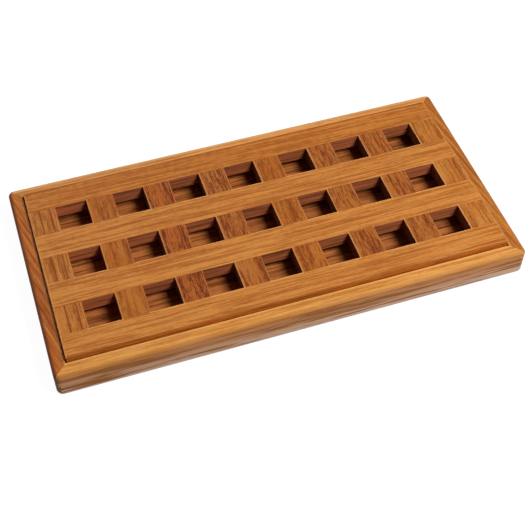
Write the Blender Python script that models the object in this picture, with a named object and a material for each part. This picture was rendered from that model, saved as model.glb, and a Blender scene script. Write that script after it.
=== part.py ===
"""Bread board: a mitred wooden tray with a lift-out grille of half-lapped bars.

Metres, +Z up. +X runs along the board and +Y from its front to its back. The origin is the
middle of the underside. Crumbs fall through the grille onto the tray's floor panel.
"""

import math

import bmesh
import bpy
from mathutils import Matrix, Vector

# Grille: long rails along X lie over short bars along Y, halved into each other.
HOLE_COLUMNS = 7
HOLE_ROWS = 3
HOLE_LENGTH = 0.0250
HOLE_DEPTH = 0.0256
CROSS_BAR_WIDTH = 0.0216
OUTER_RAIL_WIDTH = 0.0214
INNER_RAIL_WIDTH = 0.0237
GRILLE_THICKNESS = 0.0120
LAP_SHARE = 0.5
GRILLE_TOP_ROUND = 0.0008
GRILLE_UNDERSIDE_ROUND = 0.0008
GRILLE_CORNER_ROUND = 0.0012
HOLE_EDGE_ROUND = 0.0006

# Frame: four mitred rails with a rabbet for the grille and a groove for the floor.
FRAME_TOP_WIDTH = 0.0107
FRAME_HEIGHT = 0.0244
FRAME_TOP_ROUND = 0.0032
FRAME_UNDERSIDE_ROUND = 0.0042
FRAME_CORNER_ROUND = 0.0047
FRAME_INNER_CHAMFER = 0.0004
GRILLE_PROUD = 0.0040
GRILLE_SIDE_PLAY = 0.0008
LEDGE_BEARING = 0.0060

# Floor panel, held in the frame's groove.
FLOOR_THICKNESS = 0.0050
FLOOR_CLEAR_HEIGHT = 0.0038
FLOOR_TONGUE = 0.0037

# Loose tongues glued across the mitres.
SPLINE_THICKNESS = 0.0030
SPLINE_LENGTH = 0.0085
SPLINE_REACH = 0.0045

# Clearance between pieces that touch, and how far a cutter runs past what it cuts.
JOINT_GAP = 0.0003
OVERRUN = 0.0020

ROUND_STEPS = 5
HOLE_ROUND_STEPS = 2
RIM_SHARE = 0.95

# Sizes worked out from the ones above.
BAR_COUNT = HOLE_COLUMNS + 1
RAIL_COUNT = HOLE_ROWS + 1
BAR_PITCH = HOLE_LENGTH + CROSS_BAR_WIDTH
ROW_PITCH = HOLE_DEPTH + INNER_RAIL_WIDTH
GRILLE_LENGTH = HOLE_COLUMNS * HOLE_LENGTH + BAR_COUNT * CROSS_BAR_WIDTH
GRILLE_DEPTH = HOLE_ROWS * HOLE_DEPTH + (HOLE_ROWS - 1) * INNER_RAIL_WIDTH + 2 * OUTER_RAIL_WIDTH
GRILLE_TOP = FRAME_HEIGHT + GRILLE_PROUD
GRILLE_UNDERSIDE = GRILLE_TOP - GRILLE_THICKNESS
LAP_HEIGHT = GRILLE_UNDERSIDE + LAP_SHARE * GRILLE_THICKNESS
LEDGE_HEIGHT = GRILLE_UNDERSIDE - JOINT_GAP
WALL_TO_GRILLE = FRAME_TOP_WIDTH + GRILLE_SIDE_PLAY
LEDGE_WIDTH = WALL_TO_GRILLE + LEDGE_BEARING
FRAME_LENGTH = GRILLE_LENGTH + 2 * WALL_TO_GRILLE
FRAME_DEPTH = GRILLE_DEPTH + 2 * WALL_TO_GRILLE
FLOOR_TOP = FLOOR_CLEAR_HEIGHT + FLOOR_THICKNESS
GROOVE_BACK = LEDGE_WIDTH - FLOOR_TONGUE - JOINT_GAP
GROOVE_LOW = FLOOR_CLEAR_HEIGHT - JOINT_GAP
GROOVE_HIGH = FLOOR_TOP + JOINT_GAP
SPLINE_HEIGHT = (GROOVE_HIGH + LEDGE_HEIGHT) / 2
SPLINE_INSET = LEDGE_WIDTH / 2


def clear_scene():
    """Remove every object the file holds."""
    for item in list(bpy.data.objects):
        bpy.data.objects.remove(item, do_unlink=True)


def wood(name, colour, roughness):
    """A plain wood surface: base colour in linear light, roughness, not metallic."""
    material = bpy.data.materials.new(name)
    material.use_nodes = True
    shader = material.node_tree.nodes["Principled BSDF"]
    shader.inputs["Base Color"].default_value = (*colour, 1.0)
    shader.inputs["Roughness"].default_value = roughness
    shader.inputs["Metallic"].default_value = 0.0
    return material


def add_object(name, bm, material=None, parent=None, location=(0, 0, 0), turn=0):
    """Turn a bmesh into a named object, placed by location and a turn about Z."""
    bm.normal_update()
    bmesh.ops.recalc_face_normals(bm, faces=bm.faces)
    mesh = bpy.data.meshes.new(name)
    bm.to_mesh(mesh)
    bm.free()
    piece = bpy.data.objects.new(name, mesh)
    bpy.context.scene.collection.objects.link(piece)
    piece.location = location
    piece.rotation_euler = (0, 0, turn)
    if material is not None:
        mesh.materials.append(material)
    if parent is not None:
        piece.parent = parent
        piece.location = piece.location - parent.location
    return piece


def add_box(bm, low, high):
    """Add one box between two corners."""
    size = Vector(high) - Vector(low)
    middle = (Vector(high) + Vector(low)) / 2
    made = bmesh.ops.create_cube(bm, size=1)
    bmesh.ops.scale(bm, vec=size, verts=made["verts"])
    bmesh.ops.translate(bm, vec=middle, verts=made["verts"])
    return made["verts"]


def add_cutter(name, bm):
    """A helper shape that only shapes others and isn't part of the board."""
    cutter = add_object(name, bm)
    cutter.hide_render = True
    cutter.display_type = "WIRE"
    return cutter


def apply_cutter(piece, cutter, operation):
    """Shape a piece with a cutter: INTERSECT keeps what they share, DIFFERENCE cuts it out."""
    boolean = piece.modifiers.new(cutter.name, "BOOLEAN")
    boolean.operation = operation
    boolean.solver = "EXACT"
    boolean.object = cutter


def bevel_edges(bm, chosen, radius, steps):
    """Round the edges for which chosen(edge) is true."""
    edges = [edge for edge in bm.edges if chosen(edge)]
    bmesh.ops.bevel(bm, geom=edges, offset=radius, segments=steps, profile=0.5, affect="EDGES")


def rounded_block(length, depth, low, high, corner, top, underside):
    """A block with rounded upright corners, then a rounded top rim and underside rim.

    A rim can't be rounder than the corner that it turns, so its radius stops just short of it.
    """
    bm = bmesh.new()
    add_box(bm, (-length / 2, -depth / 2, low), (length / 2, depth / 2, high))
    middle = (low + high) / 2

    def ends_above(edge):
        return sum(vert.co.z > middle for vert in edge.verts)

    largest = RIM_SHARE * corner
    bevel_edges(bm, lambda edge: ends_above(edge) == 1, corner, ROUND_STEPS)
    bevel_edges(bm, lambda edge: ends_above(edge) == 2, min(top, largest), ROUND_STEPS)
    bevel_edges(bm, lambda edge: ends_above(edge) == 0, min(underside, largest), ROUND_STEPS)
    return bm


def frame_section():
    """Cross-section of a frame rail as (distance in from the outer face, height) points.

    The outer side, top and underside run past the rail, because the frame's outline trims them.
    """
    lip = FRAME_INNER_CHAMFER + OVERRUN
    return [
        (-OVERRUN, -OVERRUN),
        (LEDGE_WIDTH, -OVERRUN),
        (LEDGE_WIDTH, GROOVE_LOW),
        (GROOVE_BACK, GROOVE_LOW),
        (GROOVE_BACK, GROOVE_HIGH),
        (LEDGE_WIDTH, GROOVE_HIGH),
        (LEDGE_WIDTH, LEDGE_HEIGHT),
        (FRAME_TOP_WIDTH, LEDGE_HEIGHT),
        (FRAME_TOP_WIDTH, FRAME_HEIGHT - FRAME_INNER_CHAMFER),
        (FRAME_TOP_WIDTH - lip, FRAME_HEIGHT + OVERRUN),
        (-OVERRUN, FRAME_HEIGHT + OVERRUN),
    ]


def mitred_prism(run):
    """The frame section carried along X, each end cut back at 45 degrees by half a joint gap."""
    cut_back = JOINT_GAP / 2 * math.sqrt(2)
    bm = bmesh.new()
    start = []
    for inset, height in frame_section():
        start.append(bm.verts.new((inset + cut_back - run / 2, inset, height)))
    cap = bm.faces.new(start)
    grown = bmesh.ops.extrude_face_region(bm, geom=[cap])
    for item in grown["geom"]:
        if isinstance(item, bmesh.types.BMVert):
            item.co.x = -item.co.x
    return bm


def spline_box(bm, corner_x, corner_y, slack):
    """One loose tongue across the mitre of the corner at these signs, grown by slack all round."""
    half = Vector((SPLINE_LENGTH / 2 + slack, SPLINE_REACH + slack, SPLINE_THICKNESS / 2 + slack))
    verts = add_box(bm, -half, half)
    turn = Matrix.Rotation(math.atan2(corner_y, corner_x), 3, "Z")
    bmesh.ops.rotate(bm, cent=(0, 0, 0), matrix=turn, verts=verts)
    x = corner_x * (FRAME_LENGTH / 2 - SPLINE_INSET)
    y = corner_y * (FRAME_DEPTH / 2 - SPLINE_INSET)
    bmesh.ops.translate(bm, vec=(x, y, SPLINE_HEIGHT), verts=verts)


def bar_middles():
    """X of the middle of each cross bar, left to right."""
    return [(index - (BAR_COUNT - 1) / 2) * BAR_PITCH for index in range(BAR_COUNT)]


def rail_spans():
    """Front and back edge of each long rail, front to back."""
    spans = []
    front = -GRILLE_DEPTH / 2
    for index in range(RAIL_COUNT):
        width = OUTER_RAIL_WIDTH if index in (0, RAIL_COUNT - 1) else INNER_RAIL_WIDTH
        spans.append((front, front + width))
        front = front + width + HOLE_DEPTH
    return spans


def add_flare(bm, middle_x, middle_y):
    """A trumpet-shaped cutter that eases the top edges of one hole.

    It is a stack of rectangles. Their margin follows a quarter circle of the edge's radius,
    from inside the empty hole up to above the grille.
    """
    stations = [(-HOLE_EDGE_ROUND, -2 * HOLE_EDGE_ROUND)]
    for step in range(HOLE_ROUND_STEPS + 1):
        angle = math.pi / 2 * step / HOLE_ROUND_STEPS
        margin = HOLE_EDGE_ROUND * (1 - math.cos(angle))
        drop = HOLE_EDGE_ROUND * (1 - math.sin(angle))
        stations.append((margin, -drop))
    stations.append((HOLE_EDGE_ROUND + OVERRUN, HOLE_EDGE_ROUND))
    rings = []
    for margin, rise in stations:
        half_x = HOLE_LENGTH / 2 + margin
        half_y = HOLE_DEPTH / 2 + margin
        corners = [(-half_x, -half_y), (half_x, -half_y), (half_x, half_y), (-half_x, half_y)]
        ring = [bm.verts.new((middle_x + x, middle_y + y, GRILLE_TOP + rise)) for x, y in corners]
        rings.append(ring)
    bm.faces.new(reversed(rings[0]))
    bm.faces.new(rings[-1])
    for lower, upper in zip(rings, rings[1:]):
        for side in range(4):
            after = (side + 1) % 4
            bm.faces.new((lower[side], lower[after], upper[after], upper[side]))


def bar_notches():
    """Room for each cross bar under the long rails, one box a bar."""
    bm = bmesh.new()
    half = CROSS_BAR_WIDTH / 2 + JOINT_GAP
    reach_y = GRILLE_DEPTH / 2 + 2 * OVERRUN
    for index, middle in enumerate(bar_middles()):
        left = middle - half - (2 * OVERRUN if index == 0 else 0)
        right = middle + half + (2 * OVERRUN if index == BAR_COUNT - 1 else 0)
        low = (left, -reach_y, GRILLE_UNDERSIDE - 2 * OVERRUN)
        high = (right, reach_y, LAP_HEIGHT + JOINT_GAP / 2)
        add_box(bm, low, high)
    return bm


def rail_notches():
    """Room for each long rail over the cross bars, one box a rail."""
    bm = bmesh.new()
    reach_x = GRILLE_LENGTH / 2 + 2 * OVERRUN
    for index, (front, back) in enumerate(rail_spans()):
        near = front - JOINT_GAP - (2 * OVERRUN if index == 0 else 0)
        far = back + JOINT_GAP + (2 * OVERRUN if index == RAIL_COUNT - 1 else 0)
        low = (-reach_x, near, LAP_HEIGHT - JOINT_GAP / 2)
        high = (reach_x, far, GRILLE_TOP + 2 * OVERRUN)
        add_box(bm, low, high)
    return bm


def hole_flares():
    """The eased top edges of every hole."""
    bm = bmesh.new()
    for column in range(HOLE_COLUMNS):
        for row in range(HOLE_ROWS):
            middle_x = (column - (HOLE_COLUMNS - 1) / 2) * BAR_PITCH
            middle_y = (row - (HOLE_ROWS - 1) / 2) * ROW_PITCH
            add_flare(bm, middle_x, middle_y)
    return bm


def spline_slots():
    """Room for the loose tongue of each mitre."""
    bm = bmesh.new()
    for corner_x in (-1, 1):
        for corner_y in (-1, 1):
            spline_box(bm, corner_x, corner_y, JOINT_GAP)
    return bm


def make_cutters():
    """The shapes that trim and notch the pieces."""
    frame = rounded_block(
        FRAME_LENGTH,
        FRAME_DEPTH,
        0,
        FRAME_HEIGHT,
        FRAME_CORNER_ROUND,
        FRAME_TOP_ROUND,
        FRAME_UNDERSIDE_ROUND,
    )
    grille = rounded_block(
        GRILLE_LENGTH,
        GRILLE_DEPTH,
        GRILLE_UNDERSIDE,
        GRILLE_TOP,
        GRILLE_CORNER_ROUND,
        GRILLE_TOP_ROUND,
        GRILLE_UNDERSIDE_ROUND,
    )
    return {
        "frame_outline": add_cutter("frame_outline", frame),
        "grille_outline": add_cutter("grille_outline", grille),
        "bar_notches": add_cutter("bar_notches", bar_notches()),
        "rail_notches": add_cutter("rail_notches", rail_notches()),
        "hole_flares": add_cutter("hole_flares", hole_flares()),
        "spline_slots": add_cutter("spline_slots", spline_slots()),
    }


def make_frame(cutters, material):
    """Four mitred rails. Each is the same prism, turned to its side of the tray."""
    sides = [
        ("frame_rail_front", FRAME_LENGTH, (0, -FRAME_DEPTH / 2, 0), 0),
        ("frame_rail_right", FRAME_DEPTH, (FRAME_LENGTH / 2, 0, 0), math.pi / 2),
        ("frame_rail_back", FRAME_LENGTH, (0, FRAME_DEPTH / 2, 0), math.pi),
        ("frame_rail_left", FRAME_DEPTH, (-FRAME_LENGTH / 2, 0, 0), -math.pi / 2),
    ]
    for name, run, location, turn in sides:
        rail = add_object(name, mitred_prism(run), material, location=location, turn=turn)
        apply_cutter(rail, cutters["frame_outline"], "INTERSECT")
        apply_cutter(rail, cutters["spline_slots"], "DIFFERENCE")


def make_splines(material):
    """A hidden loose tongue in each mitre."""
    for corner_y, end in ((-1, "front"), (1, "back")):
        for corner_x, side in ((-1, "left"), (1, "right")):
            bm = bmesh.new()
            spline_box(bm, corner_x, corner_y, 0)
            add_object("mitre_spline_%s_%s" % (end, side), bm, material)


def make_floor(material):
    """The crumb floor: a flat panel whose edges lie in the frame's groove."""
    half_x = FRAME_LENGTH / 2 - LEDGE_WIDTH + FLOOR_TONGUE
    half_y = FRAME_DEPTH / 2 - LEDGE_WIDTH + FLOOR_TONGUE
    bm = bmesh.new()
    add_box(bm, (-half_x, -half_y, FLOOR_CLEAR_HEIGHT), (half_x, half_y, FLOOR_TOP))
    add_object("crumb_floor", bm, material)


def make_grille(cutters, rail_material, bar_material):
    """Long rails and cross bars, halved at each crossing, all carried by one empty."""
    carrier = bpy.data.objects.new("grille_carrier", None)
    carrier.location = (0, 0, GRILLE_UNDERSIDE)
    bpy.context.scene.collection.objects.link(carrier)

    inner_names = ["grille_rail_inner_%d" % number for number in range(1, RAIL_COUNT - 1)]
    rail_names = ["grille_rail_front", *inner_names, "grille_rail_back"]
    half_x = GRILLE_LENGTH / 2 + OVERRUN
    low_z = -OVERRUN
    high_z = GRILLE_THICKNESS + OVERRUN
    for index, (front, back) in enumerate(rail_spans()):
        middle = (front + back) / 2
        near = front - middle - (OVERRUN if index == 0 else 0)
        far = back - middle + (OVERRUN if index == RAIL_COUNT - 1 else 0)
        bm = bmesh.new()
        add_box(bm, (-half_x, near, low_z), (half_x, far, high_z))
        place = (0, middle, GRILLE_UNDERSIDE)
        rail = add_object(rail_names[index], bm, rail_material, carrier, place)
        apply_cutter(rail, cutters["grille_outline"], "INTERSECT")
        apply_cutter(rail, cutters["bar_notches"], "DIFFERENCE")
        apply_cutter(rail, cutters["hole_flares"], "DIFFERENCE")

    half_y = GRILLE_DEPTH / 2 + OVERRUN
    half_width = CROSS_BAR_WIDTH / 2
    for index, middle in enumerate(bar_middles()):
        left = -half_width - (OVERRUN if index == 0 else 0)
        right = half_width + (OVERRUN if index == BAR_COUNT - 1 else 0)
        bm = bmesh.new()
        add_box(bm, (left, -half_y, low_z), (right, half_y, high_z))
        place = (middle, 0, GRILLE_UNDERSIDE)
        bar = add_object("grille_bar_%d" % (index + 1), bm, bar_material, carrier, place)
        apply_cutter(bar, cutters["grille_outline"], "INTERSECT")
        apply_cutter(bar, cutters["rail_notches"], "DIFFERENCE")
        apply_cutter(bar, cutters["hole_flares"], "DIFFERENCE")


def main():
    """Build the whole board."""
    clear_scene()
    frame_wood = wood("frame_teak", (0.60, 0.25, 0.058), 0.42)
    rail_wood = wood("grille_rail_teak", (0.51, 0.19, 0.045), 0.45)
    bar_wood = wood("grille_bar_teak", (0.43, 0.145, 0.036), 0.48)
    floor_wood = wood("floor_teak", (0.40, 0.135, 0.036), 0.55)
    spline_wood = wood("spline_beech", (0.56, 0.36, 0.18), 0.60)
    cutters = make_cutters()
    make_frame(cutters, frame_wood)
    make_splines(spline_wood)
    make_floor(floor_wood)
    make_grille(cutters, rail_wood, bar_wood)


main()
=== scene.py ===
"""Looks of a bread board: a mitred tray with a lift-out grille of halved bars, in oiled teak.

Metres, +Z up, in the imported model's own frame: +X along the board, +Y from its front to its back,
the origin in the middle of the underside. Every visible stick of wood is a new surface with eased
arrises and its own grain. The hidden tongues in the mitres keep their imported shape.
"""

import math

import bmesh
import bpy
import numpy as np
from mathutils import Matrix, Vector


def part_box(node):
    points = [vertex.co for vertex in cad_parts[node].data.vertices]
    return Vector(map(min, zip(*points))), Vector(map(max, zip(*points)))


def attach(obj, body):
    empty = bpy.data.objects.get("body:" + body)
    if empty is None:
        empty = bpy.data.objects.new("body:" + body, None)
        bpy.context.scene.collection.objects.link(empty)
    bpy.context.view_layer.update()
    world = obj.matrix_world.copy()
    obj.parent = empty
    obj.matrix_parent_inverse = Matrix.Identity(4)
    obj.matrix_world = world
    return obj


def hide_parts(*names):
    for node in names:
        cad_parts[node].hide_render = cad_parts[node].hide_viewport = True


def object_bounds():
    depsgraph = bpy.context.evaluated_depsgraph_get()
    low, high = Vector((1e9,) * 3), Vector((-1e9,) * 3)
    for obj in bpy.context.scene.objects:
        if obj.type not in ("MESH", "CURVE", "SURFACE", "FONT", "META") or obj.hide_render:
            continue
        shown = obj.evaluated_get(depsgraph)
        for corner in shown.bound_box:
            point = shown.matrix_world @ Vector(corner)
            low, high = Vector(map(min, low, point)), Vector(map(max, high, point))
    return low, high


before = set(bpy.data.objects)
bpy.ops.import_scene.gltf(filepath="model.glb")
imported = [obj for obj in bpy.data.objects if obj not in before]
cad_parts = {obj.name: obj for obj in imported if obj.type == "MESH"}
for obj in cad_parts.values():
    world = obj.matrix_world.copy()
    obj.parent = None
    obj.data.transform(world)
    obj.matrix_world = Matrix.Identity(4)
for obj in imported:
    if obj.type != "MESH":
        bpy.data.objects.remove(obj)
cad_low, cad_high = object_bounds()

# Roundings and clearances of the sticks. What isn't here is read off the frame.
FRAME_TOP_ROUND = 0.0032
FRAME_UNDERSIDE_ROUND = 0.0042
FRAME_CORNER_ROUND = 0.0047
FRAME_INNER_ROUND = 0.0003
RABBET_PLAY = 0.0008
GRILLE_TOP_ROUND = 0.0008
GRILLE_CORNER_ROUND = 0.0007
HOLE_EDGE_ROUND = 0.0005
ARRIS = 0.00018
SEAM = 0.00010
GROOVE_DEPTH = 0.0040
FLOOR_SLACK = 0.0003
MITRE_SPREAD = 0.0008
NOTCH_STEP = 0.00005

# How far the painted light and shade at edges, and the painted shade of depth, reach past the
# edge that they belong to.
EDGE_FADE = 0.0008
EDGE_MARK_START = 0.00005
EDGE_MARK_REACH = 0.0020
DEPTH_START = 0.00005
DEPTH_FADE = 0.0004

# Painted light and shade at edges, by side, from 1, a painted highlight, to -1, painted shade: on
# the grille's outline, on the tray's outer top rounding, with the half waves that it makes there,
# on the tray's inner arris, where it also lightens the strip that the grille's shadow falls on, and
# on the holes.
RIM_PAINTED_LIGHT = {"front": 0.0, "right": 0.2, "back": 0.0, "left": 0.9}
TOP_PAINTED_SHADING = {"front": -0.8, "right": 0.0, "back": 0.6, "left": -0.9}
TOP_WAVE = {"front": 0.95, "right": 0.7, "back": 0.7, "left": 0.95}
INNER_PAINTED_LIGHT = {"front": 1.0, "right": 0.8, "back": 1.0, "left": 0.8}
HOLE_PAINTED_HIGHLIGHT = {"left": 0.35, "right": 1.0, "front": 0.9, "back": 0.1}

# Painted reflection of the white table round the tray's lower edge, as pale colour: degrees down
# from its outer side, and its strength there.
LOW_PAINTED_REFLECTION = ((0, 40, 90), (0.6, 0.78, 0.1))

# Painted light round the tray's inner top arris, from the top to the rabbet.
INNER_ARC_PAINTED_LIGHT = (1, 1, 0.5, 0, 0)

# Share of the outer sides' colour, a painted reflection of the white table and on the left painted
# shade, held between 0 and 1: FLANK_REACH at the foot of the top rounding, FLANK_END at its top,
# and FLANK_UNDER where the lower rounding meets the underside.
FLANK_REACH = {"front": 1.4, "right": 1.25, "back": 1.25, "left": 2.2}
FLANK_END = -0.15
FLANK_UNDER = 0.5

# Steps round the frame's quarter circles, the grille's outline, a hole's edge and the tray's inner
# arris, then along a stick between its notches, and across its top.
ARC_STEPS = 7
ROUND_STEPS = 5
HOLE_ROUND_STEPS = 4
INNER_ROUND_STEPS = len(INNER_ARC_PAINTED_LIGHT) - 1
STICK_STEPS = 5
ACROSS_STEPS = 6

# Spacing of sections along a frame rail, their number along the floor, the angle in degrees from
# which an edge is shaded sharp, how close counts as equal, and a distance beyond every edge.
STATION_STEP = 0.0055
PANEL_STATIONS = 24
SHARP_ANGLE = 38
TOLERANCE = 1e-8
FAR_AWAY = 1.0

# Nodes of the grille, from left to right and from front to back.
BAR_NODES = ["grille_bar_%d" % (index + 1) for index in range(8)]
RAIL_NODES = ["grille_rail_front", "grille_rail_inner_1", "grille_rail_inner_2", "grille_rail_back"]

# Camera: where it stands, the point it looks at, its lens and sensor in millimetres, and how near
# and how far it sees.
CAMERA_PLACE = (-0.1753, -0.5394, 0.6694)
CAMERA_AIM = (-0.01237, -0.04649, 0.0284)
CAMERA_LENS = 73.70
CAMERA_SENSOR = 36.0
CAMERA_CLIP = (0.01, 20.0)

# Light: a soft lamp over the front right, a weaker one behind, a dim even surround and the table.
KEY_PLACE = (0.700, -0.784, 1.420)
LAMP_AIM = (0.0, 0.0, 0.02)
KEY_SIZE = 0.68
KEY_POWER = 29.1
BACK_PLACE = (-0.180, 1.180, 1.020)
BACK_SIZE = 0.35
BACK_POWER = 5.4
SURROUND = 0.006
WHITE = (1.0, 1.0, 1.0, 1.0)
SEEN_RAYS = ("Is Camera Ray", "Is Glossy Ray", "Is Transmission Ray")
TABLE_SIZE = 6.0
TABLE_DROP = 0.0001
TABLE_COLOUR = (0.50, 0.50, 0.50, 1.0)
TABLE_GLOW = 0.955
TABLE_SHADE = (0.13, 0.13, 0.13, 1.0)

# Noises of the teak's figure: size along, across and up in millimetres, detail and roughness.
FIGURE = {
    "drift": (160.0, 30.0, 30.0, 2.0, 0.5),
    "wobble": (40.0, 8.0, 8.0, 1.0, 0.5),
    "band": (220.0, 8.0, 8.0, 1.0, 0.5),
    "streak": (75.0, 2.2, 2.2, 2.0, 0.55),
    "thread": (20.0, 0.85, 0.85, 2.0, 0.6),
    "stain": (75.0, 3.0, 2.2, 2.0, 0.55),
    "pore": (4.5, 0.45, 0.45, 1.0, 0.5),
    "ripple": (1.7, 4.0, 4.0, 1.0, 0.5),
    "flame": (3.6, 0.85, 2.2, 1.0, 0.5),
    "mottle": (5.0, 7.0, 6.0, 2.0, 0.5),
    "blush": (36.0, 3.2, 4.0, 1.0, 0.5),
}

# How far the noises bend the rings, the growth lines and the rest of the grain, in millimetres.
RING_DRIFT = 8.0
RING_WOBBLE = 1.4
LINE_WOBBLE = 0.3
GRAIN_WOBBLE = 0.8
SEED_STEP = 137.0

# Shares of a ring's width between which its shade rises and falls back, and its mean.
RING_RISE = (0.25, 0.90)
RING_FALL = (0.92, 1.0)
RING_MEAN = 0.38

# Noise at which pores, flames and redder patches begin, and at which they are full.
PORE_STEP = (0.08, 0.20)
FLAME_STEP = (-0.14, 0.14)
BLUSH_STEP = (-0.10, 0.14)

# The figure's share of deep colour: its mean, how far each kind of mark moves it, and the place
# along a stick, in millimetres, from which it fades.
MEAN_SHADE = 0.42
BAND_WEIGHT = 1.1
RING_WEIGHT = 0.20
STREAK_WEIGHT = 3.2
THREAD_WEIGHT = 2.6
RIPPLE_WEIGHT = 2.2
MOTTLE_WEIGHT = 2.4
FADING_FROM = -50.0

# The first bar's ring centre across, and the step from bar to bar, in millimetres.
PITH_START = -100
PITH_STEP = 46.6

# Tints, as shares of the colour that they change: redder patches, dark growth lines, pores, the
# shade painted in holes and gaps where no colour is given, its bright and dark streaks, and edges
# painted dark as shade and pale as highlights.
RED_TINT = (0.97, 0.80, 0.62)
LINE_TINT = (0.72, 0.62, 0.55)
PORE_TINT = (0.35, 0.35, 0.35)
RECESS_SHADE_TINT = (0.42, 0.42, 1.2)
BRIGHT_TINT = (1.30, 1.30, 1.30)
DARK_TINT = (0.45, 0.45, 0.45)
SHADED_EDGE_TINT = (0.92, 0.92, 0.92)
LIT_EDGE_TINT = (1.10, 1.10, 1.10)
LIT_EDGE_ADDED = (0.20, 0.14, 0.07)

# How much of pores, of the outer sides' painted colour and of the shade painted in holes and gaps
# shows, at most.
PORE_SHARE = 0.35
FLANK_SHARE = 0.85
INSIDE_SHARE = 0.96

# How much threads add to a growth line, and the mean of the dark streaks in the shade painted in
# holes and gaps and of the light and shade painted at edges, each with what streaks and threads add
# to it.
LINE_THREAD = 0.6
RECESS_DARK_MEAN = 0.38
RECESS_DARK_STREAK = 2.6
RECESS_DARK_THREAD = 2.2
EDGE_PAINT_MEAN = 0.80
EDGE_PAINT_THREAD = 1.2

# The tray's outer sides, painted greyer than the oiled top and paler low down as a reflection of
# the white table, the pale colour painted on their lower edge as that reflection, and the left
# side's colours, painted darker as shade.
FLANK_LIGHT = (0.57, 0.240, 0.100, 1.0)
FLANK_LOW = (0.72, 0.500, 0.370, 1.0)
FLANK_DEEP = (0.27, 0.086, 0.016, 1.0)
FLANK_LIT_EDGE = (0.78, 0.60, 0.50, 1.0)
SHADED_LIGHT = (0.16, 0.070, 0.050, 1.0)
SHADED_DEEP = (0.09, 0.028, 0.016, 1.0)

# Heights in millimetres between which an outer side's low colour, painted paler as a reflection of
# the table, gives way to its high one. Then the share of its dark colour: its mean at DIM_MIDDLE,
# its change with each millimetre along and up, which as painted light makes it darker higher up,
# and what stains, threads and bands add to it.
FLANK_FADE = (2.0, 20.0)
DIM_MIDDLE = 13.0
DIM_MEAN = 0.42
DIM_ALONG = 0.0004
DIM_UP = 0.02
DIM_STAIN = 7.0
DIM_THREAD = 2.6
DIM_BAND = 1.5

# Gloss and relief, and what threads, streaks and pores add to them.
OILED_ROUGHNESS = 0.58
DULL_ROUGHNESS = 0.62
ROUGH_THREAD = 0.35
ROUGH_PORE = 0.12
SPECULAR = 0.15
BUMP_STRENGTH = 0.4
BUMP_DEPTH = 0.00012
BUMP_THREAD = 0.6
BUMP_STREAK = 0.4
BUMP_PORE = 0.8

MM = 0.001


# Shader arithmetic

class Signal:
    """One output of a shader node. Arithmetic on it adds Math nodes to its material."""

    def __init__(self, graph, output):
        self.graph = graph
        self.output = output

    def __abs__(self):
        return self.math("ABSOLUTE", self)

    def math(self, operation, *values):
        return self.graph.node("ShaderNodeMath", {"operation": operation}, dict(enumerate(values)))

    def __add__(self, other):
        return self.math("ADD", self, other)

    def __sub__(self, other):
        return self.math("SUBTRACT", self, other)

    def __rsub__(self, other):
        return self.math("SUBTRACT", other, self)

    def __mul__(self, other):
        return self.math("MULTIPLY", self, other)

    def __truediv__(self, other):
        return self.math("DIVIDE", self, other)

    def __pow__(self, other):
        return self.math("POWER", self, other)

    __radd__ = __add__
    __rmul__ = __mul__


class Graph:
    """A material's nodes: one method adds any node, the others are short names for common ones."""

    def __init__(self, name):
        self.material = bpy.data.materials.new(name)
        self.material.use_nodes = True
        self.nodes = self.material.node_tree.nodes
        self.links = self.material.node_tree.links
        self.shader = self.nodes["Principled BSDF"]

    def node(self, kind, settings, inputs, output=0):
        """Add a node: its settings first, then a value or a link for each socket named."""
        made = self.nodes.new(kind)
        for name, value in settings.items():
            setattr(made, name, value)
        for name, value in inputs.items():
            self.feed(made.inputs[name], value)
        return Signal(self, made.outputs[output])

    def feed(self, socket, value):
        if isinstance(value, Signal):
            self.links.new(value.output, socket)
        else:
            socket.default_value = value

    def place(self):
        """The point's place on the object, in millimetres, as three signals."""
        point = self.node("ShaderNodeTexCoord", {}, {}, "Object")
        settings = {"operation": "SCALE"}
        scaled = self.node("ShaderNodeVectorMath", settings, {0: point, "Scale": 1 / MM})
        return [self.node("ShaderNodeSeparateXYZ", {}, {0: scaled}, axis) for axis in "XYZ"]

    def vector(self, x, y, z):
        return self.node("ShaderNodeCombineXYZ", {}, {"X": x, "Y": y, "Z": z})

    def figure(self, kind, run, side, up, shift, wider=1.0):
        """Soft noise about 0 of one kind from FIGURE, made wider, then shifted across and up."""
        along, across, tall, detail, roughness = FIGURE[kind]
        place_across = side / (across * wider) + shift[0]
        point = self.vector(run / along, place_across, up / tall + shift[1])
        settings = {"noise_dimensions": "3D"}
        sockets = {"Vector": point, "Scale": 1.0, "Detail": detail, "Roughness": roughness}
        return self.node("ShaderNodeTexNoise", settings, sockets, "Fac") - 0.5

    def step(self, value, low, high):
        """0 below low, 1 above high and an S-curve between them."""
        settings = {"interpolation_type": "SMOOTHSTEP"}
        sockets = {"Value": value, "From Min": low, "From Max": high}
        return self.node("ShaderNodeMapRange", settings, sockets)

    def mix(self, share, first, second):
        """A colour between first, at share 0, and second, at share 1."""
        settings = {"data_type": "RGBA", "clamp_factor": True}
        return self.node("ShaderNodeMix", settings, {0: share, 6: first, 7: second}, 2)

    def attribute(self, name):
        return self.node("ShaderNodeAttribute", {"attribute_name": name}, {}, "Fac")


# Teak

def tinted(colour, tint, added=(0.0, 0.0, 0.0)):
    """The colour times a tint, plus what is added, opaque and no brighter than 1."""
    parts = zip(colour[:3], tint, added)
    return tuple(min(1.0, share * part + more) for part, share, more in parts) + (1.0,)


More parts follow.
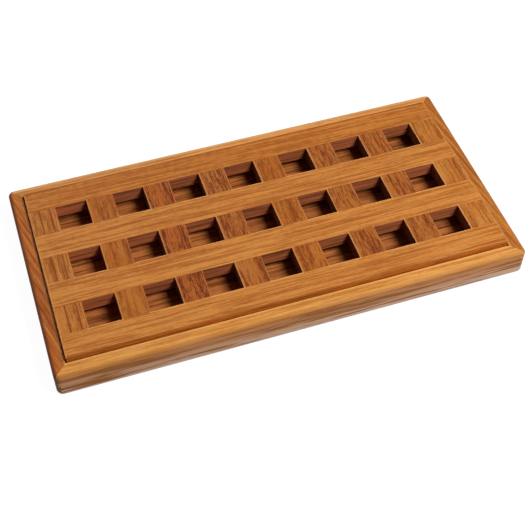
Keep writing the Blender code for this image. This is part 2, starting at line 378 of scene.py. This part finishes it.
def teak(name, along, seed, light, deep, pith, spacing, slope=0.0, rings=1.0, bands=1.0,
         streaks=1.0, threads=1.0, length=1.0, coarse=1.0, fading=0.0, ripple=0.0, flame=0.0,
         mottle=0.0, blush=0.45, lines=(), recess_shade=None,
         flank=(FLANK_LIGHT, FLANK_LOW, FLANK_DEEP), roughness=OILED_ROUGHNESS):
    """Oiled teak as a solid figure, cut from a log whose rings run along one axis of the board.

    A ring's shade rises slowly with the distance from the pith and falls back sharply. Bands,
    streaks, threads and pores are noise stretched along the grain, each finer than the one before.
    Ripple is noise stretched across it, flame noise only a little longer than wide, mottle a soft
    blotch and blush the share of redder patches. pith is the ring centre, across and up, and
    spacing the ring width, in millimetres. slope is how fast the grain runs aside along the stick,
    length stretches or shortens its figure, coarse widens its streaks, and fading is how much
    lighter it gets with each millimetre along. lines are dark lines that follow the grain: place
    across, half width and depth of shade; most are growth lines and one is painted shade along an
    edge. sheltered is the colour painted in holes and gaps as their shade. flank holds the colours
    of outer sides, high up, low down and in their dark stains, which run straight along the side
    whatever the slope; their greyer, paler tone is a painted reflection of the table. Edges are
    painted pale as highlights and dark as shade.
    """
    graph = Graph(name)
    x, y, z = graph.place()
    run, straight = (x, y) if along == "X" else (y, x)
    side = straight + run * slope
    far = (run + SEED_STEP * seed) / length

    drift = graph.figure("drift", far, side, z, (seed, 0.0))
    wobble = graph.figure("wobble", far, side, z, (0.0, seed))
    bend = drift * RING_DRIFT + wobble * RING_WOBBLE
    ruled = side + wobble * LINE_WOBBLE
    side = side + wobble * GRAIN_WOBBLE
    from_side = side - pith[0] + bend
    from_up = z - pith[1] + bend
    phase = (from_side * from_side + from_up * from_up) ** 0.5 / spacing
    phase = phase.math("FRACT", phase)
    ring = graph.step(phase, *RING_RISE) * (1.0 - graph.step(phase, *RING_FALL)) - RING_MEAN

    band = graph.figure("band", far, side, z, (seed, 0.0))
    streak = graph.figure("streak", far, side, z, (0.0, seed), coarse)
    thread = graph.figure("thread", far, side, z, (seed, 0.0))
    stain = graph.figure("stain", far, straight, z, (0.0, seed))
    pore = graph.step(graph.figure("pore", far, side, z, (0.0, seed)), *PORE_STEP)
    shade = MEAN_SHADE + band * (BAND_WEIGHT * bands) + ring * (RING_WEIGHT * rings)
    shade = shade + streak * (STREAK_WEIGHT * streaks) + thread * (THREAD_WEIGHT * threads)
    if fading:
        shade = shade - (run - FADING_FROM) * fading
    if ripple:
        ripples = graph.figure("ripple", run, side, z, (seed, 0.0))
        shade = shade + ripples * (RIPPLE_WEIGHT * ripple)
    if flame:
        flames = graph.step(graph.figure("flame", run, side, z, (seed, 0.0)), *FLAME_STEP)
        shade = shade + (flames - 0.5) * flame
    if mottle:
        mottles = graph.figure("mottle", run, side, z, (seed, 0.0))
        shade = shade + mottles * (MOTTLE_WEIGHT * mottle)
    colour = graph.mix(shade, light, deep)

    blushes = graph.step(graph.figure("blush", far, side, z, (seed, -seed)), *BLUSH_STEP)
    settings = {"operation": "MULTIPLY"}
    redder = graph.node("ShaderNodeVectorMath", settings, {0: colour, 1: RED_TINT})
    colour = graph.mix(blushes * blush, colour, redder)
    for place, half_width, depth in lines:
        line = 1.0 - graph.step(abs(ruled - place), 0.0, half_width)
        line = line * (depth + thread * LINE_THREAD)
        colour = graph.mix(line, colour, tinted(deep, LINE_TINT))
    colour = graph.mix(pore * PORE_SHARE, colour, tinted(deep, PORE_TINT))

    # The outer sides' colour is a painted reflection of the white table, paler low down, and on the
    # left painted shade.
    upper, lower, dim = flank
    pale = graph.mix(graph.step(z, *FLANK_FADE), lower, upper)
    dimmed = DIM_MEAN - run * DIM_ALONG + (z - DIM_MIDDLE) * DIM_UP
    dimmed = dimmed + stain * DIM_STAIN + thread * DIM_THREAD + band * DIM_BAND
    flank_reflection = graph.mix(dimmed, pale, dim)
    colour = graph.mix(graph.attribute("flank") * FLANK_SHARE, colour, flank_reflection)

    # Painted shade: holes, gaps and the grille's outer faces below its top are painted darker and
    # redder.
    recess_shade = recess_shade or tinted(deep, RECESS_SHADE_TINT)
    darkened = RECESS_DARK_MEAN + streak * RECESS_DARK_STREAK + thread * RECESS_DARK_THREAD
    hidden = graph.mix(darkened, tinted(recess_shade, BRIGHT_TINT), tinted(recess_shade, DARK_TINT))
    colour = graph.mix(graph.attribute("inside") * INSIDE_SHARE, colour, hidden)

    # Painted light and shade at edges: pale edges are painted highlights, on the outer sides a
    # painted reflection of the table, and edges below 0 are painted shade.
    lit_edge = tinted(light, LIT_EDGE_TINT, LIT_EDGE_ADDED)
    lit_edge = graph.mix(graph.attribute("flank"), lit_edge, FLANK_LIT_EDGE)
    edge = graph.attribute("edge") * (EDGE_PAINT_MEAN + thread * EDGE_PAINT_THREAD)
    shaded_edge = graph.mix(0.0 - edge, colour, tinted(deep, SHADED_EDGE_TINT))
    colour = graph.mix(edge, shaded_edge, lit_edge)

    dull = roughness + thread * ROUGH_THREAD + pore * ROUGH_PORE
    height = thread * BUMP_THREAD + streak * BUMP_STREAK - pore * BUMP_PORE
    sockets = {"Strength": BUMP_STRENGTH, "Distance": BUMP_DEPTH, "Height": height}
    graph.feed(graph.shader.inputs["Base Color"], colour)
    graph.feed(graph.shader.inputs["Roughness"], dull)
    graph.feed(graph.shader.inputs["Normal"], graph.node("ShaderNodeBump", {}, sockets))
    graph.shader.inputs["Specular IOR Level"].default_value = SPECULAR
    return graph.material


# Surfaces

def arc(centre, radius, start, stop, steps=ARC_STEPS):
    """Points on a circle from one angle to another, in degrees."""
    angle = np.radians(np.linspace(start, stop, steps + 1))
    return np.array(centre) + radius * np.stack([np.cos(angle), np.sin(angle)], axis=1)


def eased(distance, radius):
    """How far a quarter-round edge of this radius drops, at a distance in from the edge."""
    short = np.clip(radius - distance, 0, radius)
    return radius - np.sqrt(radius**2 - short**2)


def round_offsets(radius, steps=ROUND_STEPS):
    """Distances in from an edge that space points evenly round its quarter circle."""
    return radius * (1 - np.cos(np.linspace(0, math.pi / 2, steps + 1)))


def shell(name, rings, marks, body, node, material):
    """A closed skin through section rings, with a flat cap at each end.

    rings holds each station's points in order. Point k of a station is joined to point k of the
    next, and the last point to the first. marks holds values from 0 to 1 for each point: edge, near
    an arris painted pale as a highlight, flank, on the tray's outer side, painted with a reflection
    of the table, and inside, deep in a hole or in the rabbet, painted dark as shade. An edge below
    0 is painted dark as shade.
    """
    stations, around = rings.shape[:2]
    here = np.arange(stations - 1)[:, None] * around + np.arange(around)
    beside = np.arange(stations - 1)[:, None] * around + (np.arange(around) + 1) % around
    sides = np.stack([here, beside, beside + around, here + around], axis=-1).reshape(-1, 4)
    last = (stations - 1) * around
    caps = [list(range(around)), list(range(last, last + around))]
    mesh = bpy.data.meshes.new(name)
    mesh.from_pydata(rings.reshape(-1, 3), [], sides.tolist() + caps)
    for mark, values in marks.items():
        layer = mesh.attributes.new(mark, "FLOAT", "POINT")
        layer.data.foreach_set("value", values.reshape(-1).astype(np.float32))
    bm = bmesh.new()
    bm.from_mesh(mesh)
    bmesh.ops.recalc_face_normals(bm, faces=bm.faces)
    bm.to_mesh(mesh)
    bm.free()
    mesh.shade_smooth()
    mesh.set_sharp_from_angle(angle=math.radians(SHARP_ANGLE))
    mesh.materials.append(material)
    piece = bpy.data.objects.new(name, mesh)
    bpy.context.scene.collection.objects.link(piece)
    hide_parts(node)
    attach(piece, body)
    return piece


# The tray's frame

def frame_section(width, height, top_width, ledge, groove_low, groove_high):
    """A frame rail's section, as distance in from the outer face and height, and its points' marks.

    It starts under the outer rounding and goes up the outer side, over the top, down the rabbet
    and the inner face, and back along the underside. The marks are edge, flank and inside. Those
    of the top rounding differ from side to side and are set in build_frame.
    """
    bottom, top = FRAME_UNDERSIDE_ROUND, FRAME_TOP_ROUND
    inner = FRAME_INNER_ROUND
    # Painted light and shade: the lower rounding pale as a reflection of the white table, the outer
    # side with the table's reflection, the inner arris lighter, and the rabbet dark.
    low_reflection = np.interp(np.linspace(90, 0, ARC_STEPS + 1), *LOW_PAINTED_REFLECTION)
    low_flank = np.linspace(FLANK_UNDER, 1, ARC_STEPS + 1)
    inner_arc = arc((top_width - inner, height - inner), inner, 90, 0, INNER_ROUND_STEPS)
    pieces = [
        (arc((bottom, bottom), bottom, 270, 180), low_reflection, low_flank, 0),
        ([[0, bottom + EDGE_FADE], [0, height - top - EDGE_FADE]], 0, 1, 0),
        (arc((top, height - top), top, 180, 90), 0, 0, 0),
        ([[top + EDGE_MARK_REACH, height]], 0, 0, 0),
        ([[top_width - inner - EDGE_MARK_REACH, height]], 0, 0, 0),
        (inner_arc, np.array(INNER_ARC_PAINTED_LIGHT), 0, 0),
        ([[top_width, height - inner - DEPTH_FADE], [top_width, ledge]], 0, 0, 1),
        ([[width - ARRIS, ledge], [width, ledge - ARRIS]], 0, 0, 1),
        ([[width, groove_high], [width - GROOVE_DEPTH, groove_high]], 0, 0, 1),
        ([[width - GROOVE_DEPTH, groove_low], [width, groove_low]], 0, 0, 1),
        ([[width, ARRIS], [width - ARRIS, 0]], 0, 0, 0),
        ([[bottom + EDGE_FADE, 0]], 0, 0, 0),
    ]
    points = np.concatenate([np.array(part, dtype=float) for part, *_ in pieces])
    marks = {}
    for place, mark in enumerate(("edge", "flank", "inside")):
        values = [np.zeros(len(piece[0])) + piece[1 + place] for piece in pieces]
        marks[mark] = np.concatenate(values)
    return points, marks


def mitred_ring(section, half_run, half_across):
    """The section swept along the front side of a ring, from mitre to mitre.

    A point that lies less than the corner's radius in from the outer face follows a smaller arc
    about the same centre. One that lies deeper turns a sharp corner on the mitre.
    """
    inset, height = section[:, 0], section[:, 1]
    radius = np.clip(FRAME_CORNER_ROUND - inset, 0, None)
    deeper = np.clip(inset - FRAME_CORNER_ROUND, 0, None)
    flat_from = max(FRAME_TOP_ROUND, FRAME_UNDERSIDE_ROUND)
    spread = MITRE_SPREAD * np.clip((inset - flat_from) / (FRAME_CORNER_ROUND - flat_from), 0, 1)
    corner_x = FRAME_CORNER_ROUND - half_run + deeper
    corner_y = FRAME_CORNER_ROUND - half_across + deeper
    turn = np.radians(np.linspace(225, 270, ARC_STEPS + 1))[:, None]
    share = np.linspace(0, 1, ARC_STEPS + 1)[:, None]
    left_x = corner_x + radius * np.cos(turn) + spread * share
    left_y = corner_y + radius * np.sin(turn)
    count = int(2 * half_run / STATION_STEP)
    straight = np.linspace(0, 1, count + 1)[1:-1, None]
    middle_x = left_x[-1] * (1 - 2 * straight)
    middle_y = np.repeat(left_y[-1:], len(straight), axis=0)
    x = np.concatenate([left_x, middle_x, -left_x[::-1]]) * (1 - SEAM / half_run)
    y = np.concatenate([left_y, middle_y, left_y[::-1]])
    z = np.repeat(height[None, :], len(x), axis=0)
    return np.stack([x, y, z], axis=-1)


def turned(points, quarters):
    """The points turned about Z by quarter turns."""
    for _ in range(quarters):
        points = np.stack([-points[..., 1], points[..., 0], points[..., 2]], axis=-1)
    return points


def build_frame(looks):
    """Four mitred rails round the grille, with a rabbet that it lies in."""
    front_low, front_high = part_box("frame_rail_front")
    grille_low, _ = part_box("grille_rail_front")
    floor_low, floor_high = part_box("crumb_floor")
    width = front_high.y - front_low.y
    top_width = grille_low.y - RABBET_PLAY - front_low.y
    section, section_marks = frame_section(
        width,
        front_high.z,
        top_width,
        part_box("grille_bar_1")[0].z - FLOOR_SLACK,
        floor_low.z - FLOOR_SLACK,
        floor_high.z + FLOOR_SLACK,
    )
    first = int(np.argmax(section[:, 1] > front_high.z - FRAME_TOP_ROUND - TOLERANCE))
    rounding = slice(first, first + ARC_STEPS + 1)
    half_length = cad_high.x
    half_depth = cad_high.y
    sides = [("front", half_length, half_depth), ("right", half_depth, half_length),
             ("back", half_length, half_depth), ("left", half_depth, half_length)]
    for quarters, (side, half_run, half_across) in enumerate(sides):
        rings = turned(mitred_ring(section, half_run, half_across), quarters)
        marks = {mark: np.tile(values, (len(rings), 1)) for mark, values in section_marks.items()}
        # Over the top rounding: painted shade or a painted sheen in a half wave, the outer side's
        # painted colour reaching up, and painted light past the inner arris.
        wave = np.sin(np.linspace(0, TOP_WAVE[side] * math.pi, ARC_STEPS + 1))
        flank = np.linspace(FLANK_REACH[side], FLANK_END, ARC_STEPS + 1)
        marks["edge"][:, rounding] = TOP_PAINTED_SHADING[side] * wave
        marks["edge"][:, rounding.stop + 1:] *= INNER_PAINTED_LIGHT[side]
        marks["flank"][:, rounding] = np.clip(flank, 0, 1)
        node = "frame_rail_%s" % side
        shell("tray_%s" % side, rings, marks, "tray", node, looks[side])


def build_floor(look):
    """The crumb floor: a thin panel with eased arrises, in the frame's groove."""
    low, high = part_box("crumb_floor")
    section = np.array([
        [low.y + ARRIS, low.z], [high.y - ARRIS, low.z],
        [high.y, low.z + ARRIS], [high.y, high.z - ARRIS],
        [high.y - ARRIS, high.z], [low.y + ARRIS, high.z],
        [low.y, high.z - ARRIS], [low.y, low.z + ARRIS],
    ])
    x = np.linspace(low.x, high.x, PANEL_STATIONS)
    rings = np.empty((len(x), len(section), 3))
    rings[..., 0] = x[:, None]
    rings[..., 1:] = section[None]
    shell("crumb_panel", rings, {}, "tray", "crumb_floor", look)


# The grille

class Lattice:
    """The grille's layout, read off the frame: spans of its bars and rails, and of its holes."""

    def __init__(self):
        bars = [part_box(node) for node in BAR_NODES]
        rails = [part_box(node) for node in RAIL_NODES]
        self.bars = [(low.x, high.x) for low, high in bars]
        self.rails = [(low.y, high.y) for low, high in rails]
        self.columns = [(a[1], b[0]) for a, b in zip(self.bars, self.bars[1:])]
        self.rows = [(a[1], b[0]) for a, b in zip(self.rails, self.rails[1:])]
        self.half_x = bars[-1][1].x
        self.half_y = rails[-1][1].y
        self.top = rails[0][1].z
        self.underside = bars[0][0].z
        self.lap = (rails[0][1].z + bars[0][0].z) / 2

    def hole_distance(self, x, y):
        """Distance to the nearest hole: how far outside its span a point is, each way, as one."""
        away_x = np.min([np.maximum(a - x, x - b) for a, b in self.columns], axis=0)
        away_y = np.min([np.maximum(a - y, y - b) for a, b in self.rows], axis=0)
        return np.hypot(np.clip(away_x, 0, None), np.clip(away_y, 0, None))

    def rim_distance(self, x, y):
        """Distance in from the grille's outline, a rectangle with round corners."""
        over_x = np.abs(x) - self.half_x + GRILLE_CORNER_ROUND
        over_y = np.abs(y) - self.half_y + GRILLE_CORNER_ROUND
        past = np.hypot(np.clip(over_x, 0, None), np.clip(over_y, 0, None))
        return GRILLE_CORNER_ROUND - past - np.minimum(np.maximum(over_x, over_y), 0)

    def top_height(self, x, y, seam_distance):
        """The flat top, eased round the holes, round the outline and along the piece's seams."""
        drop = eased(self.hole_distance(x, y), HOLE_EDGE_ROUND)
        drop = np.maximum(drop, eased(self.rim_distance(x, y), GRILLE_TOP_ROUND))
        return self.top - np.maximum(drop, eased(seam_distance, ARRIS))

    def top_painted_highlight(self, x, y):
        """The painted highlight on the top's eased edges: 0 where they meet the sides, fading out
        past them.
        """
        # Holes' edges are painted pale as highlights, most on their right and front edges.
        hole_highlight = np.zeros_like(x)
        for left, right in self.columns:
            for front, back in self.rows:
                past = {"left": left - x, "right": x - right, "front": front - y, "back": y - back}
                away = np.max([np.maximum(distance, 0) for distance in past.values()], axis=0)
                beside = np.argmax(list(past.values()), axis=0)
                share = np.array([HOLE_PAINTED_HIGHLIGHT[side] for side in past])[beside]
                fade = np.clip(1 - (away - HOLE_EDGE_ROUND) / EDGE_FADE, 0, 1)
                edge_highlight = np.where(away > EDGE_MARK_START, fade, 0) * share
                hole_highlight = np.maximum(hole_highlight, edge_highlight)
        # The grille's outline is painted pale as a highlight, mostly along its left edge.
        rim = self.rim_distance(x, y)
        rim_highlight = np.where(rim > EDGE_MARK_START, 1 - rim / (GRILLE_TOP_ROUND + EDGE_FADE), 0)
        inward = {"front": self.half_y + y, "right": self.half_x - x,
                  "back": self.half_y - y, "left": self.half_x + x}
        nearest = np.argmin([inward[side] for side in RIM_PAINTED_LIGHT], axis=0)
        rim_highlight = rim_highlight * np.array(list(RIM_PAINTED_LIGHT.values()))[nearest]
        return np.clip(np.maximum(hole_highlight, rim_highlight), 0, 1)


def corner_reach(station, half_run, half_across):
    """Half the outline's width at a station along it, less where a round corner cuts in."""
    over = np.clip(np.abs(station) - half_run + GRILLE_CORNER_ROUND, 0, GRILLE_CORNER_ROUND)
    return half_across - GRILLE_CORNER_ROUND + np.sqrt(GRILLE_CORNER_ROUND**2 - over**2)


def stations_along(spans, half_run):
    """Places along a stick where its section changes, closer together where its edges are round."""
    rim = np.union1d(round_offsets(GRILLE_TOP_ROUND), round_offsets(GRILLE_CORNER_ROUND))
    rim = np.union1d(rim, [GRILLE_TOP_ROUND + EDGE_FADE])
    ease = round_offsets(HOLE_EDGE_ROUND, HOLE_ROUND_STEPS)
    ease = np.union1d(ease, [HOLE_EDGE_ROUND + EDGE_FADE])
    places = [rim - half_run, half_run - rim]
    for start, stop in spans:
        places += [start - ease, stop + ease]
        places += [[start + SEAM - NOTCH_STEP, start + SEAM, stop - SEAM, stop - SEAM + NOTCH_STEP]]
        places += [[start + SEAM + ARRIS, stop - SEAM - ARRIS]]
        places += [np.linspace(start, stop, STICK_STEPS + 1)[1:-1]]
    inner = [stop for _, stop in spans[:-1]]
    for stop, (start, _) in zip(inner, spans[1:]):
        places += [np.linspace(stop, start, STICK_STEPS + 1)[1:-1]]
    return np.unique(np.round(np.concatenate(places), 7))


def within(values, spans, margin):
    """True where a value lies in one of the spans, drawn in by a margin at both ends."""
    slack = margin - TOLERANCE
    inside = [(values >= start + slack) & (values <= stop - slack) for start, stop in spans]
    return np.any(inside, axis=0)


def stick_rings(lattice, along, span, open_spans, outer_low, outer_high):
    """Section rings of a rail, along X, or a bar, along Y, with their painted highlights and shade.

    A rail is full height where open_spans are and only its upper half over the bars. A bar is
    full height there and only its lower half under the rails. The section goes across the top in
    steps that follow the round edges, down one side, under and up the other side.
    """
    is_rail = along == "X"
    half_run, half_across = lattice.half_x, lattice.half_y
    if not is_rail:
        half_run, half_across = half_across, half_run
    station = stations_along(open_spans, half_run)
    whole = within(station, open_spans, SEAM)
    reach = corner_reach(station, half_run, half_across)
    low_side = np.maximum(span[0], -reach) if outer_low else np.full(len(station), span[0])
    high_side = np.minimum(span[1], reach) if outer_high else np.full(len(station), span[1])

    def offsets(outer):
        radius = GRILLE_TOP_ROUND if outer else HOLE_EDGE_ROUND
        return np.union1d(round_offsets(radius), [ARRIS, radius + EDGE_FADE])

    from_low = offsets(outer_low)
    from_high = offsets(outer_high)
    left = low_side[:, None] + from_low
    right = high_side[:, None] - from_high[::-1]
    between = np.linspace(0, 1, ACROSS_STEPS + 1)[1:-1]
    middle = left[:, -1:] * (1 - between) + right[:, :1] * between
    across = np.concatenate([left, middle, right], axis=1)
    run = np.repeat(station[:, None], across.shape[1], axis=1)
    x, y = (run, across) if is_rail else (across, run)

    if is_rail:
        seam_distance = np.minimum(across - low_side[:, None], high_side[:, None] - across)
        seam_distance = np.where(whole[:, None], FAR_AWAY, seam_distance)
    else:
        starts = np.array([a + SEAM for a, _ in open_spans])
        stops = np.array([b - SEAM for _, b in open_spans])
        to_end = np.min(np.abs(run[..., None] - np.concatenate([starts, stops])), axis=-1)
        seam_distance = np.where(whole[:, None], to_end, FAR_AWAY)
    top = lattice.top_height(x, y, seam_distance)
    edge_highlight = lattice.top_painted_highlight(x, y)
    if is_rail:
        bottom = np.where(whole, lattice.underside, lattice.lap)
    else:
        top = np.where(whole[:, None], top, lattice.lap - SEAM)
        edge_highlight = np.where(whole[:, None], edge_highlight, 0)
        bottom = np.full(len(station), lattice.underside)

    def side(edge_across, edge_top, sign):
        """Points down a side, from just under its top edge to its lower arris."""
        middle_height = np.maximum(edge_top - DEPTH_FADE, (edge_top + bottom) / 2)
        heights = np.stack([middle_height, bottom + ARRIS, bottom], axis=1)
        places = np.stack([edge_across, edge_across, edge_across - sign * ARRIS], axis=1)
        return places, heights

    right_across, right_height = side(high_side, top[:, -1], 1)
    left_across, left_height = side(low_side, top[:, 0], -1)
    all_across = np.concatenate([across, right_across, left_across[:, ::-1]], axis=1)
    all_height = np.concatenate([top, right_height, left_height[:, ::-1]], axis=1)
    all_run = np.repeat(station[:, None], all_across.shape[1], axis=1)
    edge = np.concatenate([edge_highlight, np.zeros_like(right_across), np.zeros_like(left_across)], axis=1)
    # Painted shade: the deeper below the top, the more the wood is painted dark and red.
    depth = np.clip((lattice.top - all_height - DEPTH_START) / DEPTH_FADE, 0, 1)
    axes = [all_run, all_across, all_height] if is_rail else [all_across, all_run, all_height]
    return np.stack(axes, axis=-1), {"edge": edge, "inside": depth}


def build_grille(rail_looks, bar_looks):
    """Long rails over cross bars, halved into each other."""
    lattice = Lattice()
    for index, span in enumerate(lattice.rails):
        last = index == len(lattice.rails) - 1
        rings, marks = stick_rings(lattice, "X", span, lattice.columns, index == 0, last)
        node = RAIL_NODES[index]
        shell(node + "_wood", rings, marks, "grille", node, rail_looks[index])
    for index, span in enumerate(lattice.bars):
        last = index == len(lattice.bars) - 1
        rings, marks = stick_rings(lattice, "Y", span, lattice.rows, index == 0, last)
        node = BAR_NODES[index]
        shell(node + "_wood", rings, marks, "grille", node, bar_looks[index])


def make_looks():
    """One teak for each stick, with its own seed, colours and figure."""
    tan, tan_deep = (0.80, 0.355, 0.102, 1), (0.52, 0.190, 0.038, 1)
    gold, gold_deep = (0.85, 0.405, 0.102, 1), (0.60, 0.235, 0.043, 1)
    red, red_deep = (0.57, 0.190, 0.032, 1), (0.285, 0.062, 0.010, 1)
    russet, russet_deep = (0.58, 0.216, 0.038, 1), (0.33, 0.090, 0.013, 1)
    # Colours painted in the rabbet and gaps as their shade; the left one lighter, which lifts the
    # black of the narrow gap there.
    rabbet = (0.45, 0.115, 0.010, 1)
    left_rabbet = (0.64, 0.165, 0.012, 1)
    frame_looks = {
        "front": teak("teak_front", "X", 1.3, gold, gold_deep, (-140, -40), 2.6,
                      recess_shade=rabbet),
        "right": teak("teak_right", "Y", 2.1, russet, russet_deep, (220, -30), 2.8,
                      slope=0.16, rings=1.6, recess_shade=rabbet),
        "back": teak("teak_back", "X", 3.7, tan, tan_deep, (150, -50), 2.6,
                     recess_shade=rabbet),
        # The left rail's outer side is painted dark as shade.
        "left": teak("teak_left", "Y", 4.4, red, red_deep, (-250, -20), 2.8,
                     slope=0.28, blush=0.9, recess_shade=left_rabbet,
                     flank=(SHADED_LIGHT, SHADED_LIGHT, SHADED_DEEP)),
    }
    brown, brown_deep = (0.68, 0.272, 0.057, 1), (0.43, 0.130, 0.021, 1)
    back, back_deep = (0.62, 0.222, 0.040, 1), (0.41, 0.118, 0.016, 1)
    # Shade painted on the grille's front face and on the holes' walls.
    face = (0.51, 0.136, 0.013, 1)
    wall = (0.42, 0.122, 0.045, 1)
    # Each rail: seed, pith, mottle, colours, dark lines and the shade painted in its holes. The
    # front rail's line is painted shade along its front edge; the back rail's is a dark line along
    # its back edge.
    rails = [
        (5.2, (-90, -60), 0.1, brown, brown_deep, ((-83.4, 1.6, 1.2),), face),
        (6.9, (-30, -60), 0.2, brown, brown_deep, (), wall),
        (8.6, (30, -60), 0.2, brown, brown_deep, (), wall),
        (10.3, (90, -60), 0.5, back, back_deep, ((82.5, 1.4, 0.75),), wall),
    ]
    rail_looks = []
    for n, (seed, pith, mottle, light, deep, lines, recess_shade) in enumerate(rails):
        rail_looks.append(teak(
            "teak_rail_%d" % (n + 1), "X", seed, light, deep, pith, 3.0, bands=0.7, streaks=1.15,
            flame=0.2, mottle=mottle, lines=lines, recess_shade=recess_shade))
    honey, honey_deep = (0.60, 0.230, 0.045, 1), (0.31, 0.082, 0.011, 1)
    amber, amber_deep = (0.50, 0.162, 0.022, 1), (0.26, 0.058, 0.007, 1)
    rust, rust_deep = (0.48, 0.160, 0.030, 1), (0.21, 0.042, 0.006, 1)
    dusk, dusk_deep = (0.46, 0.124, 0.018, 1), (0.13, 0.020, 0.003, 1)
    # Each bar: seed, colours, streaks, threads, coarseness, flame and growth lines.
    bars = [
        (11.4, honey, honey_deep, 0.5, 0.95, 1.7, 0.0, ((-165.3, 1.2, 1.0), (-157.0, 1.0, 0.8))),
        (12.7, amber, amber_deep, 0.65, 0.9, 1.4, 0.1, ()),
        (14.0, dusk, dusk_deep, 0.7, 1.5, 1.0, 0.3, ()),
        (15.3, rust, rust_deep, 0.9, 1.8, 1.3, 0.3, ()),
        (16.6, amber, amber_deep, 0.6, 1.3, 1.0, 0.3, ()),
        (17.9, rust, rust_deep, 0.8, 1.7, 0.8, 0.3, ()),
        (19.2, rust, rust_deep, 0.8, 1.5, 1.2, 0.3, ()),
        (20.5, honey, honey_deep, 0.5, 0.8, 1.6, 0.0, ((157.6, 1.0, 0.4), (166.0, 1.2, 0.45))),
    ]
    bar_looks = []
    for n, (seed, light, deep, streaks, threads, coarse, flame, lines) in enumerate(bars):
        pith = (PITH_START + PITH_STEP * n, -40)
        bar_looks.append(teak(
            "teak_bar_%d" % (n + 1), "Y", seed, light, deep, pith, 3.2, rings=0.7, bands=2.0,
            streaks=streaks, threads=threads, length=0.4, coarse=coarse, fading=0.001, ripple=0.3,
            flame=flame, blush=0.8, lines=lines, recess_shade=None if n else rabbet))
    floor_look = teak("teak_floor", "X", 23.5, (0.56, 0.190, 0.047, 1), (0.18, 0.045, 0.011, 1),
                      (20, -90), 4.0, roughness=DULL_ROUGHNESS)
    spline_look = teak("pale_tongue", "Y", 29.1, (0.62, 0.42, 0.24, 1), (0.50, 0.31, 0.16, 1),
                       (60, -60), 2.4, roughness=DULL_ROUGHNESS)
    return frame_looks, rail_looks, bar_looks, floor_look, spline_look


# Stage, light and camera

def aimed(place, aim):
    """Rotation that turns a lamp or camera at a place to look at a point, upright."""
    return (Vector(aim) - Vector(place)).to_track_quat("-Z", "Y").to_euler()


def build_stage():
    """A white table that keeps a faint shadow, under a white surround."""
    graph = Graph("white_table")
    rays = [graph.node("ShaderNodeLightPath", {}, {}, kind) for kind in SEEN_RAYS]
    seen = rays[0].math("MAXIMUM", rays[0], rays[1])
    seen = seen.math("MAXIMUM", seen, rays[2])
    lit = graph.node("ShaderNodeBsdfDiffuse", {}, {"Color": TABLE_COLOUR})
    shade = graph.node("ShaderNodeBsdfDiffuse", {}, {"Color": TABLE_SHADE})
    glow = graph.node("ShaderNodeEmission", {}, {"Color": WHITE, "Strength": TABLE_GLOW})
    shown = graph.node("ShaderNodeAddShader", {}, {0: glow, 1: shade})
    surface = graph.node("ShaderNodeMixShader", {}, {0: seen, 1: lit, 2: shown})
    graph.feed(graph.nodes["Material Output"].inputs["Surface"], surface)
    half = TABLE_SIZE / 2
    corners = [(-half, -half, -TABLE_DROP), (half, -half, -TABLE_DROP),
               (half, half, -TABLE_DROP), (-half, half, -TABLE_DROP)]
    mesh = bpy.data.meshes.new("table")
    mesh.from_pydata(corners, [], [(0, 1, 2, 3)])
    mesh.materials.append(graph.material)
    table = bpy.data.objects.new("table", mesh)
    bpy.context.scene.collection.objects.link(table)


def build_light():
    """The two lamps and the even surround."""
    lamps = [
        ("soft_lamp", KEY_PLACE, KEY_SIZE, KEY_POWER),
        ("back_lamp", BACK_PLACE, BACK_SIZE, BACK_POWER),
    ]
    for name, place, size, power in lamps:
        lamp = bpy.data.lights.new(name, "AREA")
        lamp.shape = "DISK"
        lamp.size = size
        lamp.energy = power
        holder = bpy.data.objects.new(name, lamp)
        holder.location = place
        holder.rotation_euler = aimed(place, LAMP_AIM)
        bpy.context.scene.collection.objects.link(holder)

    world = bpy.data.worlds.new("surround")
    world.use_nodes = True
    nodes, links = world.node_tree.nodes, world.node_tree.links
    ray = nodes.new("ShaderNodeLightPath")
    seen = ray.outputs[SEEN_RAYS[0]]
    for kind in SEEN_RAYS[1:]:
        larger = nodes.new("ShaderNodeMath")
        larger.operation = "MAXIMUM"
        links.new(seen, larger.inputs[0])
        links.new(ray.outputs[kind], larger.inputs[1])
        seen = larger.outputs[0]
    strength = nodes.new("ShaderNodeMapRange")
    strength.inputs["To Min"].default_value = SURROUND
    strength.inputs["To Max"].default_value = 1.0
    links.new(seen, strength.inputs["Value"])
    links.new(strength.outputs[0], nodes["Background"].inputs["Strength"])
    nodes["Background"].inputs["Color"].default_value = WHITE
    bpy.context.scene.world = world


def build_camera():
    """The camera, placed where the photograph was taken from."""
    data = bpy.data.cameras.new("camera")
    data.sensor_width = CAMERA_SENSOR
    data.lens = CAMERA_LENS
    data.clip_start, data.clip_end = CAMERA_CLIP
    camera = bpy.data.objects.new("camera", data)
    camera.location = CAMERA_PLACE
    camera.rotation_euler = aimed(CAMERA_PLACE, CAMERA_AIM)
    bpy.context.scene.collection.objects.link(camera)
    bpy.context.scene.camera = camera


def main():
    frame_looks, rail_looks, bar_looks, floor_look, spline_look = make_looks()
    build_frame(frame_looks)
    build_floor(floor_look)
    build_grille(rail_looks, bar_looks)
    for name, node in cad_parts.items():
        if name.startswith("mitre_spline"):
            node.data.materials.clear()
            node.data.materials.append(spline_look)
    build_stage()
    build_light()
    build_camera()
    bpy.context.scene.view_settings.view_transform = "Standard"


main()
